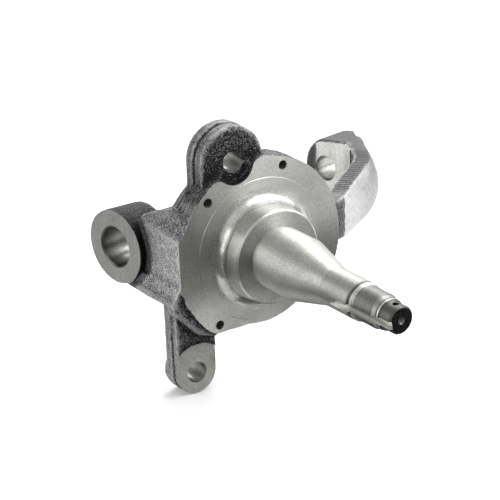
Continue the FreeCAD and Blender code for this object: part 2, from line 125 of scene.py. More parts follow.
# Groove of the parting line on the ears, softened by the casting
PARTING_Y = 12.2
PARTING_DEPTH = 0.8
PARTING_HALF_WIDTH = 0.75
PARTING_LOW_Z = -38.0
PARTING_TOP_Z = 26.0
PARTING_RIGHT_X = 8.0
PARTING_HOLE_CLEAR_R = 9.0

# Machining stock, and how near to a machined face or bore a point has to be to get it
STOCK = 1.6
STOCK_MARGIN = 0.3
LUG_STOCK_DEPTH = 10.0
FACING = 0.3
FACE_REACH = 0.7
SEAT_REACH = 0.6
HUB_CLEAR_R = 28.0
BORE_REACH = 0.9
BORE_CORE_R = 0.2

# Where the finish of the skin changes, and where painted light and painted shade lie on it
GROUND_START_X = 54.0
PAINTED_LIGHT_RIGHT_X = -36.0
BOSS_BAND = 7.0
EAR_RECESS_LOW_Z = 15.0
TRIM_START_X = 42.0
TRIM_LOW_Z = 8.0
LUG_START_X = 88.0
RIBS_START = 12.0
RIBS_END = 72.0
RIB_PITCH = 2.2

# Spindle sizes
HUB_FILLET_R = 5.0
HUB_FILLET_STEPS = 8
HUB_TOP_R = 25.0
HUB_FILLET_END = 5.3
COLLAR_R = 24.2
COLLAR_STEP = 0.3
COLLAR_EDGE = 0.9
SHOULDER_Y = 14.1
SEAT_RELIEF = 0.35
INNER_SEAT_R = 15.875
INNER_SEAT_END = 34.7
OUTER_SEAT_R = 9.525
OUTER_SEAT_START = 60.5
OUTER_SEAT_END = 80.7
SEAT_CHAMFER = 0.3
GROOVE_R = 8.5
RING_R = 9.35
RING_START = 82.6
RING_END = 83.5
THREAD_R = 8.5
THREAD_START = 84.4
THREAD_END = 96.0
THREAD_PITCH = 1.27
THREAD_DEPTH = 0.42
THREAD_HALF_WIDTH = 0.42
THREAD_RUN_IN = 1.2
THREAD_RUN_OUT = 0.8
STEPS_PER_PITCH = 10
PLAIN_BAND_R = 7.75
BAND_GROOVE_R = 7.0
BAND_GROOVE_START = 99.6
BAND_GROOVE_END = 100.4
TIP_COLLAR_R = 7.5
TIP_COLLAR_END = 101.1
TIP_BAND_R = 6.75
TIP_BAND_START = 101.8
TIP_EDGE = 0.8
TIP_Y = 108.8
COTTER_HOLE_R = 1.6
COTTER_HOLE_Y = 104.9
COTTER_CUTTER_HALF = 15.0
CENTRE_DRILL = {"start": 0.4, "length": 3.8, "start_r": 2.0, "end_r": 0.3}
SLOT_WIDTH = 4.0
SLOT_FLOOR_R = 5.3
SLOT_TURN = 190.0
SLOT_CUTTER_R = 20.0
SLOT_FULL_DEPTH_Y = 79.5
SPINDLE_SHARP_ANGLE = 24.0

# Corners round a circle: bores, the spindle, small holes and the slot's side mill
BORE_CORNERS = 96
AROUND = 160
SMALL_HOLE_CORNERS = 48
SIDE_MILL_CORNERS = 192

# Distance from the flange face where a band of the spindle starts, and its tone. The band in the groove
# after the outer seat is painted shade, and the ring after it and the band at the groove and collar before
# the tip are painted highlights
SPINDLE_TONES = (
    (13.9, 0.90), (INNER_SEAT_END, 0.86), (OUTER_SEAT_START, 0.70), (OUTER_SEAT_END, 0.30), (82.7, 1.10),
    (THREAD_START, 0.42), (THREAD_END + 0.6, 0.62), (99.6, 1.30), (101.0, 0.24),
)

# Cards that only reflections see: name, corner and the two edges
CARDS = (
    ("card_low", (-100, -1200, -69), (290, 87, 0), (0, 1099, 0)),
    ("card_low_left", (-700, -1200, -68), (630, 0, 0), (0, 1200, 0)),
    ("card_back", (-14, -40, -69), (74, 0, 0), (0, 340, 0)),
    ("card_behind", (-560, 500, 110), (400, 0, 0), (0, 0, 330)),
    ("card_front", (-900, -1200, -68), (1900, 0, 0), (0, 0, 240)),
    ("card_left", (-900, -1200, -68), (0, 1000, 0), (0, 0, 330)),
)

# Lamps, all aimed at the origin: name, place, size and power in watts
LAMPS = (
    ("right", (0.75, -0.15, 0.35), 0.55, 2.5),
    ("left", (-0.85, 0.08, 0.30), 0.70, 5.0),
    ("front_top", (0.55, -0.55, 0.75), 0.70, 11.0),
    ("top_back", (0.45, 0.55, 0.65), 0.60, 7.0),
)

# Camera at the photograph's view: its place, and the directions of its right side, top and back
CAMERA_PLACE = (-377.83, -575.67, 274.99)
CAMERA_RIGHT = (0.8316, -0.554, -0.0392)
CAMERA_UP = (0.2363, 0.289, 0.9277)
CAMERA_BACK = (-0.5026, -0.7807, 0.3712)
CAMERA_LENS = 108.0
CAMERA_SENSOR = 36.0


def new_object(name, mesh):
    obj = bpy.data.objects.new(name, mesh)
    bpy.context.scene.collection.objects.link(obj)
    return obj


def settle(obj):
    """Replace the object's mesh by what its modifiers make of it."""
    graph = bpy.context.evaluated_depsgraph_get()
    graph.update()
    made = bpy.data.meshes.new_from_object(obj.evaluated_get(graph))
    obj.modifiers.clear()
    obj.data = made


def coordinates(mesh):
    values = np.empty(len(mesh.vertices) * 3, np.float64)
    mesh.vertices.foreach_get("co", values)
    return values.reshape(-1, 3) / MM


def normals_of(mesh):
    values = np.empty(len(mesh.vertices) * 3, np.float64)
    mesh.vertex_normals.foreach_get("vector", values)
    return values.reshape(-1, 3)


def put_coordinates(mesh, points):
    mesh.vertices.foreach_set("co", (points * MM).astype(np.float32).ravel())
    mesh.update()


def polar(radius, degrees):
    angle = math.radians(degrees)
    return (radius * math.cos(angle), radius * math.sin(angle))


def on_axis(distance, across=0.0, z=0.0):
    """Point at a distance along the steering axis from the lower joint face, and beside the axis."""
    return AXIS_START + AXIS * distance + ACROSS * across + np.array([0.0, 0.0, z])


def axis_distances(points):
    """Distance of each point along the steering axis, and away from it."""
    distance = (points - AXIS_START) @ AXIS
    off_axis = np.linalg.norm(points - AXIS_START - distance[:, None] * AXIS, axis=1)
    return distance, off_axis


def rise(values, start, end):
    """Share that goes from 0 at the start to 1 at the end, which may lie on either side of it."""
    return np.clip((values - start) / (end - start), 0, 1)


def cone(start, direction, length, start_r, end_r, segments=BORE_CORNERS):
    """Closed cone or cylinder from a start point along a direction."""
    direction = Vector(direction).normalized()
    middle = Vector(start) + direction * (length / 2)
    turn = direction.to_track_quat("Z", "Y").to_matrix().to_4x4()
    place = Matrix.Translation(middle * MM) @ turn
    mesh = bpy.data.meshes.new("cutter")
    shape = bmesh.new()
    bmesh.ops.create_cone(shape, cap_ends=True, cap_tris=False, segments=segments,
                          radius1=start_r * MM, radius2=end_r * MM, depth=length * MM, matrix=place)
    shape.to_mesh(mesh)
    shape.free()
    return new_object("cutter", mesh)


def prism(outline, height):
    """Closed prism from the corners of a flat outline and a height vector."""
    mesh = bpy.data.meshes.new("cutter")
    shape = bmesh.new()
    low = [shape.verts.new(Vector(corner) * MM) for corner in outline]
    high = [shape.verts.new((Vector(corner) + Vector(height)) * MM) for corner in outline]
    shape.faces.new(low)
    shape.faces.new(list(reversed(high)))
    for i in range(len(low)):
        j = (i + 1) % len(low)
        shape.faces.new((low[j], low[i], high[i], high[j]))
    bmesh.ops.recalc_face_normals(shape, faces=shape.faces)
    shape.to_mesh(mesh)
    shape.free()
    return new_object("cutter", mesh)


def block(corner, along, across, height):
    """Closed box from a corner and its three edge vectors."""
    corner, along, across = Vector(corner), Vector(along), Vector(across)
    return prism([corner, corner + along, corner + along + across, corner + across], height)


def cut(obj, cutter, material):
    """Machine the object with a cutter, and give the new faces the cutter's material."""
    cutter.data.materials.append(material)
    change = obj.modifiers.new("cut", "BOOLEAN")
    change.operation = "DIFFERENCE"
    change.solver = "MANIFOLD"
    change.material_mode = "TRANSFER"
    change.object = cutter
    settle(obj)
    bpy.data.objects.remove(cutter)


def neighbour_mean(points, edges, count):
    total = np.zeros_like(points)
    for axis in range(3):
        total[:, axis] = (np.bincount(edges[:, 0], points[edges[:, 1], axis], len(points))
                          + np.bincount(edges[:, 1], points[edges[:, 0], axis], len(points)))
    return total / count[:, None]


def smoothed(mesh, points, steps, rate=0.5):
    """Points moved towards the mean of their neighbours, a number of times."""
    edges = np.empty(len(mesh.edges) * 2, np.int64)
    mesh.edges.foreach_get("vertices", edges)
    edges = edges.reshape(-1, 2)
    count = np.bincount(edges.ravel(), minlength=len(points)).astype(float)
    for _ in range(steps):
        points = points + rate * (neighbour_mean(points, edges, count) - points)
    return points


def bore_list():
    """Start point, direction, length, radius and finish of each bore."""
    inboard = np.array([0.0, 1.0, 0.0])
    bores = [
        (on_axis(LOWER_BORE_START), AXIS, LOWER_BORE_LENGTH, LOWER_BORE_R, "bored"),
        (on_axis(UPPER_BORE_START), AXIS, UPPER_BORE_LENGTH, UPPER_BORE_R, "bored"),
    ]
    for (x, z), radius in ((UPPER_EAR, UPPER_HOLE_R), (LOWER_EAR, LOWER_HOLE_R)):
        bores.append((np.array([x, HOLE_START_Y, z]), inboard, EAR_BORE_LENGTH, radius, "drilled"))
    for angle in SHIELD_HOLE_ANGLES:
        x, z = polar(SHIELD_HOLE_CIRCLE_R, angle)
        start = np.array([x, SHIELD_HOLE_START_Y, z])
        bores.append((start, inboard, SHIELD_HOLE_DEPTH - SHIELD_HOLE_START_Y, SHIELD_HOLE_R, "drilled"))
    return bores


def nut_face_outline():
    """Milled nut face, the fillet beside it and the start of the upright's wall, from above."""
    reach = NUT_FILLET_R * math.tan(NUT_WALL_SLOPE / 2)
    left = LUG_MILL_LEFT - NUT_MILL_PAST_LEFT
    outline = [(-CUTTER_DEPTH, left), (0.0, left)]
    for i in range(NUT_FILLET_STEPS + 1):
        angle = NUT_WALL_SLOPE * i / NUT_FILLET_STEPS
        outline.append((NUT_FILLET_R * (math.cos(angle) - 1),
                        NUT_WALL_ACROSS - reach + NUT_FILLET_R * math.sin(angle)))
    wall_rise = (NUT_MILL_END - NUT_WALL_ACROSS) * math.tan(NUT_WALL_SLOPE)
    outline += [(-wall_rise, NUT_MILL_END), (-CUTTER_DEPTH, NUT_MILL_END)]
    return [on_axis(LUG_DISTANCE + along, across, -NUT_CUTTER_HALF) for along, across in outline]


def add_stock(points, normals):
    """Put machining stock on the faces and in the bores that are cut later."""
    facing_front = normals[:, 1] < -FACING
    from_spindle = np.hypot(points[:, 0], points[:, 2])
    front = (points[:, 1] < FACE_REACH) & facing_front & (from_spindle > HUB_CLEAR_R)
    points[front, 1] -= STOCK
    distance, off_axis = axis_distances(points)
    facing = normals @ AXIS < -FACING
    boss = facing & (distance < FACE_REACH) & (off_axis < LOWER_BOSS_R + STOCK_MARGIN)
    nut_face = facing & (distance > LUG_DISTANCE - LUG_STOCK_DEPTH) & (distance < LUG_DISTANCE + SEAT_REACH)
    points[boss] -= AXIS * STOCK
    across = (points - AXIS_START) @ ACROSS
    nut_face &= (across > LUG_MILL_LEFT - STOCK_MARGIN) & (across < NUT_MILL_END)
    points[nut_face] -= AXIS * STOCK
    from_ear = np.hypot(points[:, 0] - LOWER_EAR[0], points[:, 2] - LOWER_EAR[1])
    spot = (from_ear < LOWER_SPOT_R) & (points[:, 1] < LOWER_SPOT_Y + SEAT_REACH) & facing_front
    points[spot, 1] -= STOCK
    for start, direction, length, radius, _ in bore_list():
        offset = points - start
        along = offset @ direction
        radial = offset - along[:, None] * direction
        out = np.linalg.norm(radial, axis=1)
        wall = (along > 0) & (along < length + 1) & (out < radius + BORE_REACH)
        pull = np.minimum(BORE_REACH, out[wall] - BORE_CORE_R)
        points[wall] -= radial[wall] / out[wall][:, None] * pull[:, None]


def cast_relief(points):
    """Uneven skin of the casting: height above the smooth surface at each point."""
    height = np.empty(len(points))
    for i, p in enumerate(points):
        place = Vector(p)
        height[i] = sum(swell * noise.noise(place / size) for size, swell in RELIEF)
    return height


def parting_groove(points, normals):
    """Depth of the groove of the parting line, which runs round the sides of both ears."""
    x, y, z = points.T
    on_ear = ((z > PARTING_TOP_Z) | (z < PARTING_LOW_Z)) & (x < PARTING_RIGHT_X)
    sides = on_ear & (np.abs(normals[:, 1]) < 0.6)
    for ear_x, ear_z in (UPPER_EAR, LOWER_EAR):
        sides &= np.hypot(x - ear_x, z - ear_z) > PARTING_HOLE_CLEAR_R
    return PARTING_DEPTH * np.exp(-((y - PARTING_Y) / PARTING_HALF_WIDTH) ** 2) * sides


def cast_surface(obj):
    """Turn the part's own mesh into an even casting with relief, groove and machining stock."""
    voxels = obj.modifiers.new("voxels", "REMESH")
    voxels.mode = "VOXEL"
    voxels.voxel_size = VOXEL * MM
    settle(obj)
    mesh = obj.data
    points = smoothed(mesh, coordinates(mesh), SMOOTH_STEPS)
    from_notch = np.hypot(points[:, 0] - LUG_NOTCH[0], points[:, 1] - LUG_NOTCH[1])
    share = rise(from_notch, NOTCH_SMOOTH_R, NOTCH_SMOOTH_R - 2)[:, None]
    points += share * (smoothed(mesh, points, NOTCH_SMOOTH_STEPS) - points)
    put_coordinates(mesh, points)
    normals = normals_of(mesh)
    points = points + normals * cast_relief(points)[:, None]
    points = points - normals * parting_groove(points, normals)[:, None]
    add_stock(points, normals)
    points[:, 2] = np.clip(points[:, 2], cad_low.z / MM, cad_high.z / MM)
    put_coordinates(mesh, points)
    thin = obj.modifiers.new("thin", "DECIMATE")
    triangles = sum(len(p.vertices) - 2 for p in mesh.polygons)
    thin.ratio = min(1.0, CAST_TRIANGLES / triangles)
    settle(obj)


def machine(obj, materials):
    """Cut the machined faces and the bores, each with its own finish."""
    front = block((-FRONT_CUTTER_HALF, FRONT_CUTTER_START_Y, -FRONT_CUTTER_HALF),
                  (2 * FRONT_CUTTER_HALF, 0, 0), (0, FLANGE_STEP_DEPTH - FRONT_CUTTER_START_Y, 0),
                  (0, 0, 2 * FRONT_CUTTER_HALF))
    cut(obj, front, materials["turned"])
    pocket_r = FLANGE_STEP_R + POCKET_CLEARANCE
    pocket_length = HUB_POCKET_DEPTH - HOLE_START_Y
    pocket = cone((0, HOLE_START_Y, 0), (0, 1, 0), pocket_length, pocket_r, pocket_r, AROUND)
    cut(obj, pocket, materials["turned"])
    boss_r = LOWER_BOSS_R + BOSS_CLEARANCE
    # the boss face's steel carries painted shade in its darker tone
    cut(obj, cone(on_axis(-CUTTER_DEPTH), AXIS, CUTTER_DEPTH, boss_r, boss_r), materials["faced_and_shaded"])
    cut(obj, prism(nut_face_outline(), (0, 0, 2 * NUT_CUTTER_HALF)), materials["milled"])
    spot = cone((LOWER_EAR[0], HOLE_START_Y, LOWER_EAR[1]), (0, 1, 0), LOWER_SPOT_Y - HOLE_START_Y,
                LOWER_SPOT_R, LOWER_SPOT_R)
    cut(obj, spot, materials["spot"])
    for start, direction, length, radius, kind in bore_list():
        cut(obj, cone(start, direction, length, radius, radius), materials[kind])
    for radius, size, mouth in ((LOWER_BORE_R, BORE_CHAMFER, on_axis(0)),
                                (UPPER_BORE_R, BORE_CHAMFER / 2, on_axis(LUG_DISTANCE))):
        cut(obj, cone(mouth - AXIS * size, AXIS, 2 * size, radius + 2 * size, radius), materials["bored"])


def casting(materials):
    """The whole part but for the spindle and the face inside the flange's step."""
    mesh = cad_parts[NODE].data.copy()
    shape = bmesh.new()
    shape.from_mesh(mesh)
    bmesh.ops.remove_doubles(shape, verts=shape.verts, dist=0.002 * MM)
    shape.to_mesh(mesh)
    shape.free()
    mesh.materials.clear()
    mesh.materials.append(materials["cast"])
    obj = new_object("casting", mesh)
    cast_surface(obj)
    machine(obj, materials)
    finish_shading(obj, CAST_SHARP_ANGLE)
    mark_skin(obj.data)
    return obj


def crest_height(mesh, points, normals):
    """How far each point stands above the smoothed surface, and nothing near a bore."""
    near = smoothed(mesh, points, 3)
    crest = ((near - smoothed(mesh, near, 12)) * normals).sum(axis=1)
    for start, direction, _, radius, _ in bore_list():
        offset = points - start
        radial = offset - (offset @ direction)[:, None] * direction
        crest[np.linalg.norm(radial, axis=1) < radius + 4] = 0
    return crest


def painted_light_side(points, normals):
    """Painted light: the side of the block below the boss, and a little of every side that looks down and
    left, are made paler.
    """
    x, y, z = points.T
    left = -normals[:, 0]
    side = rise(left, 0.3, 0.9) * np.maximum(rise(z, 24, 10), 0.25)
    side *= rise(z, -17, -13) * rise(y, 46, 40) * (x < PAINTED_LIGHT_RIGHT_X)
    low_side = rise(left, 0.3, 0.8) * rise(z, 0, -15)
    return np.maximum(side, 0.28 * low_side * (x < 0))


def painted_shade_share(points, normals):
    """Painted shade: the band and top of the lower boss, and the recess behind the flange at the upper ear,
    made darker.
    """
    distance, off_axis = axis_distances(points)
    boss = rise(off_axis, LOWER_BOSS_R + 5, LOWER_BOSS_R + 2)
    painted_shade = 2.0 * boss * rise(distance, 0, 0.8) * rise(distance, BOSS_BAND, BOSS_BAND - 2)
    painted_shade += 1.3 * boss * rise(normals[:, 2], 0.3, 0.7) * rise(distance, 24, 20)
    recess = rise(-normals[:, 1], 0.6, 0.9) * (points[:, 2] > EAR_RECESS_LOW_Z)
    return painted_shade + recess * np.clip((60 - points[:, 2]) / 20, 0.3, 1.3)


def mark_skin(mesh):
    """Write the shares and heights that the cast material blends by, as point attributes, among them the
    shares of painted light and painted shade.
    """
    points, normals = coordinates(mesh), normals_of(mesh)
    x, _, z = points.T
    chord = on_axis(LUG_DISTANCE) - UPRIGHT_ROOT
    along = (points - UPRIGHT_ROOT) @ (chord / np.linalg.norm(chord))
    ground = rise(normals @ np.array([0.62, -0.78, 0.0]), 0.35, 0.60)
    upright_top = rise(normals[:, 2], 0.6, 0.8) * (x > TRIM_START_X) * (z > TRIM_LOW_Z)
    left_of_nut_face = (points - AXIS_START) @ ACROSS < LUG_MILL_LEFT
    trimmed = np.maximum(upright_top, 0.9 * left_of_nut_face * (x > LUG_START_X))
    upright_front = rise(-normals[:, 1], 0.3, 0.6) * (x > TRIM_START_X - 4)
    rib_length = rise(along, RIBS_START, RIBS_START + 6) * rise(along, RIBS_END, RIBS_END - 8)
    marks = {
        "ground": ground * rise(x, GROUND_START_X, GROUND_START_X + 5),
        # painted light on the sides that face left and down
        "painted_light": painted_light_side(points, normals),
        "crest": crest_height(mesh, points, normals),
        # painted shade on the lower boss, in the ear recess and on the trimmed skin at the lug
        "painted_shade": painted_shade_share(points, normals) + trimmed * rise(x, LUG_START_X - 2, LUG_START_X + 4),
        "trimmed": np.maximum(trimmed, 0.6 * upright_front),
        "ribbed": upright_top * rib_length,
        "along": along,
    }
    for name, values in marks.items():
        kept = mesh.attributes.new(name, "FLOAT", "POINT")
        kept.data.foreach_set("value", values.astype(np.float32))


def finish_shading(obj, degrees):
    """Shade smooth, with a sharp edge wherever two faces meet at more than the angle."""
    for polygon in obj.data.polygons:
        polygon.use_smooth = True
    obj.data.set_sharp_from_angle(angle=math.radians(degrees))


def spindle_profile():
    """Radius and distance from the flange face of the turned surface."""
    points = [(FLANGE_STEP_R + FLANGE_STEP_CHAMFER, -HUB_POCKET_DEPTH),
              (FLANGE_STEP_R + FLANGE_STEP_CHAMFER, -FLANGE_STEP_DEPTH),
              (FLANGE_STEP_R, 0.0)]
    for i in range(HUB_FILLET_STEPS + 1):
        angle = math.radians(90 * i / HUB_FILLET_STEPS)
        radius = HUB_TOP_R + HUB_FILLET_R * (1 - math.sin(angle))
        points.append((radius, HUB_FILLET_END * (1 - math.cos(angle))))
    points += [
        (COLLAR_R + COLLAR_STEP, HUB_FILLET_END + 0.1), (COLLAR_R, SHOULDER_Y - COLLAR_EDGE),
        (COLLAR_R - COLLAR_EDGE, SHOULDER_Y), (INNER_SEAT_R - SEAT_RELIEF, SHOULDER_Y),
        (INNER_SEAT_R - SEAT_RELIEF, SHOULDER_Y + 1.2), (INNER_SEAT_R, SHOULDER_Y + 1.6),
        (INNER_SEAT_R, INNER_SEAT_END), (OUTER_SEAT_R, OUTER_SEAT_START),
        (OUTER_SEAT_R, OUTER_SEAT_END - SEAT_CHAMFER), (OUTER_SEAT_R - SEAT_CHAMFER, OUTER_SEAT_END),
        (GROOVE_R, OUTER_SEAT_END + SEAT_CHAMFER), (GROOVE_R, RING_START),
        (RING_R, RING_START + 0.3), (RING_R, RING_END)]
    steps = round((THREAD_END - THREAD_START) / THREAD_PITCH * STEPS_PER_PITCH)
    for i in range(steps + 1):
        points.append((THREAD_R, THREAD_START + (THREAD_END - THREAD_START) * i / steps))
    points += [
        (PLAIN_BAND_R, THREAD_END + 0.9), (PLAIN_BAND_R, BAND_GROOVE_START),
        (BAND_GROOVE_R, BAND_GROOVE_START + 0.1), (BAND_GROOVE_R, BAND_GROOVE_END),
        (TIP_COLLAR_R, BAND_GROOVE_END + 0.1), (TIP_COLLAR_R, TIP_COLLAR_END),
        (TIP_BAND_R, TIP_BAND_START), (TIP_BAND_R, TIP_Y - TIP_EDGE), (TIP_BAND_R - TIP_EDGE, TIP_Y)]
    return points


def thread_depth(out, angle):
    """How far the thread is cut below its crest."""
    if out <= THREAD_START or out >= THREAD_END:
        return 0.0
    fade = min(1.0, (out - THREAD_START) / THREAD_RUN_IN, (THREAD_END - out) / THREAD_RUN_OUT)
    phase = (out / THREAD_PITCH + angle / (2 * math.pi)) % 1.0
    groove = max(0.0, 1 - abs(phase - 0.5) / THREAD_HALF_WIDTH)
    return THREAD_DEPTH * groove * fade


def turned_surface(mesh):
    """Revolve the spindle's profile, with the thread cut into it, and close both ends."""
    shape = bmesh.new()
    rings = []
    for radius, out in spindle_profile():
        ring = []
        for i in range(AROUND):
            angle = 2 * math.pi * i / AROUND
            r = radius - thread_depth(out, angle)
            ring.append(shape.verts.new(Vector((r * math.cos(angle), -out, r * math.sin(angle))) * MM))
        rings.append(ring)
    for a, b in zip(rings, rings[1:]):
        for i in range(AROUND):
            j = (i + 1) % AROUND
            shape.faces.new((a[i], a[j], b[j], b[i]))
    shape.faces.new(rings[0])
    shape.faces.new(list(reversed(rings[-1])))
    bmesh.ops.recalc_face_normals(shape, faces=shape.faces)
    shape.to_mesh(mesh)
    shape.free()


def turned_spindle(materials):
    """The face inside the flange's step, the hub fillet and the spindle, with its slot and holes."""
    mesh = bpy.data.meshes.new("turned_spindle")
    turned_surface(mesh)
    mesh.materials.append(materials["turned"])
    obj = new_object("turned_spindle", mesh)
    turn = Matrix.Rotation(math.radians(-SLOT_TURN), 4, "Y")
    long_end = TIP_Y + 5
    straight = block((SLOT_FLOOR_R, -long_end, -SLOT_WIDTH / 2), (SLOT_CUTTER_R, 0, 0),
                     (0, long_end - SLOT_FULL_DEPTH_Y, 0), (0, 0, SLOT_WIDTH))
    run_out = cone((SLOT_FLOOR_R + SLOT_CUTTER_R, -SLOT_FULL_DEPTH_Y, -SLOT_WIDTH / 2), (0, 0, 1),
                   SLOT_WIDTH, SLOT_CUTTER_R, SLOT_CUTTER_R, SIDE_MILL_CORNERS)
    for cutter in (straight, run_out):
        cutter.data.transform(turn)
        cut(obj, cutter, materials["milled"])
    cotter = cone((0, -COTTER_HOLE_Y, -COTTER_CUTTER_HALF), (0, 0, 1), 2 * COTTER_CUTTER_HALF,
                  COTTER_HOLE_R, COTTER_HOLE_R, SMALL_HOLE_CORNERS)
    cut(obj, cotter, materials["drilled"])
    centre = cone((0, -TIP_Y - CENTRE_DRILL["start"], 0), (0, 1, 0), CENTRE_DRILL["length"],
                  CENTRE_DRILL["start_r"], CENTRE_DRILL["end_r"], SMALL_HOLE_CORNERS)
    cut(obj, centre, materials["drilled"])
    finish_shading(obj, SPINDLE_SHARP_ANGLE)
    mesh = obj.data
    mesh.materials.append(materials["dark_end"])
    dark_end = len(mesh.materials) - 1
    for polygon in mesh.polygons:
        if polygon.normal.y < -0.9 and polygon.center.y < (0.2 - TIP_Y) * MM:
            polygon.material_index = dark_end
    return obj


class Nodes:
    """Short way to build one node material."""

    def __init__(self, name):
        self.material = bpy.data.materials.new(name)
        self.material.use_nodes = True
        self.tree = self.material.node_tree
        self.shader = self.tree.nodes["Principled BSDF"]
        self.place = self.tree.nodes.new("ShaderNodeTexCoord").outputs["Object"]

    def add(self, kind, inputs=None, **settings):
        node = self.tree.nodes.new(kind)
        for key, value in settings.items():
            setattr(node, key, value)
        for key, value in (inputs or {}).items():
            self.feed(node, key, value)
        return node

    def feed(self, node, key, value):
        """Link a socket to the input, or set the input to a constant."""
        socket = node.inputs[key]
        if isinstance(value, bpy.types.NodeSocket):
            self.tree.links.new(value, socket)
        else:
            socket.default_value = value

    def math(self, operation, *values):
        return self.add("ShaderNodeMath", dict(enumerate(values)), operation=operation).outputs[0]

    def vector(self, operation, *values, output="Vector"):
        return self.add("ShaderNodeVectorMath", dict(enumerate(values)), operation=operation).outputs[output]

    def along_line(self, value):
        """Texture place that only changes with the value."""
        return self.add("ShaderNodeCombineXYZ", {"X": value}).outputs["Vector"]

    def noise(self, scale, detail=2.0, roughness=0.5, vector=None):
        inputs = {"Vector": vector or self.place, "Scale": scale, "Detail": detail, "Roughness": roughness}
        return self.add("ShaderNodeTexNoise", inputs).outputs["Fac"]

    def ramp(self, value, *stops):
        node = self.add("ShaderNodeValToRGB", {"Fac": value})
        band = node.color_ramp
        while len(band.elements) < len(stops):
            band.elements.new(0.5)
        for element, (position, colour) in zip(band.elements, stops):
            element.position = position
            element.color = (*colour, 1.0)
        return node.outputs["Color"]

    def between(self, value, low, high, to_low=0.0, to_high=1.0):
        inputs = {"Value": value, "From Min": low, "From Max": high, "To Min": to_low, "To Max": to_high}
        return self.add("ShaderNodeMapRange", inputs).outputs["Result"]

    def mix(self, share, a, b):
        """Colour that goes from a to b with the share."""
        node = self.add("ShaderNodeMix", data_type="RGBA")
        self.feed(node, 0, share)
        for key, value in ((6, a), (7, b)):
            self.feed(node, key, (*value, 1.0) if isinstance(value, tuple) else value)
        return node.outputs[2]

    def bump(self, height, strength, distance):
        inputs = {"Height": height, "Strength": strength, "Distance": distance}
        return self.add("ShaderNodeBump", inputs).outputs["Normal"]

    def finish(self, **sockets):
        for key, value in sockets.items():
            self.feed(self.shader, key.replace("_", " "), value)
        return self.material


def ground_finish(n, marks):
    """Share and colour of the bright ground area on the front of the upright, with painted shade that
    darkens it along the upright.
    """
    ragged = n.math("MULTIPLY", n.math("SUBTRACT", n.noise(260.0, 4.0, 0.65), 0.5), 1.2)
    ragged = n.math("ADD", marks["ground"], ragged)
    share = n.math("MULTIPLY", n.between(ragged, 0.42, 0.58), n.math("GREATER_THAN", marks["ground"], 0.02))
    bright = n.ramp(n.noise(420.0, 5.0, 0.6), (0.3, (0.34, 0.34, 0.34)), (0.6, (0.46, 0.46, 0.455)))
    # painted shade: the ground area turns darker along the upright
    bright = n.mix(n.between(marks["along"], 12.0, 60.0), bright, (0.17, 0.17, 0.17))
    bright = n.mix(n.between(n.noise(620.0, 2.0), 0.67, 0.71), bright, (0.06, 0.06, 0.06))
    return share, bright


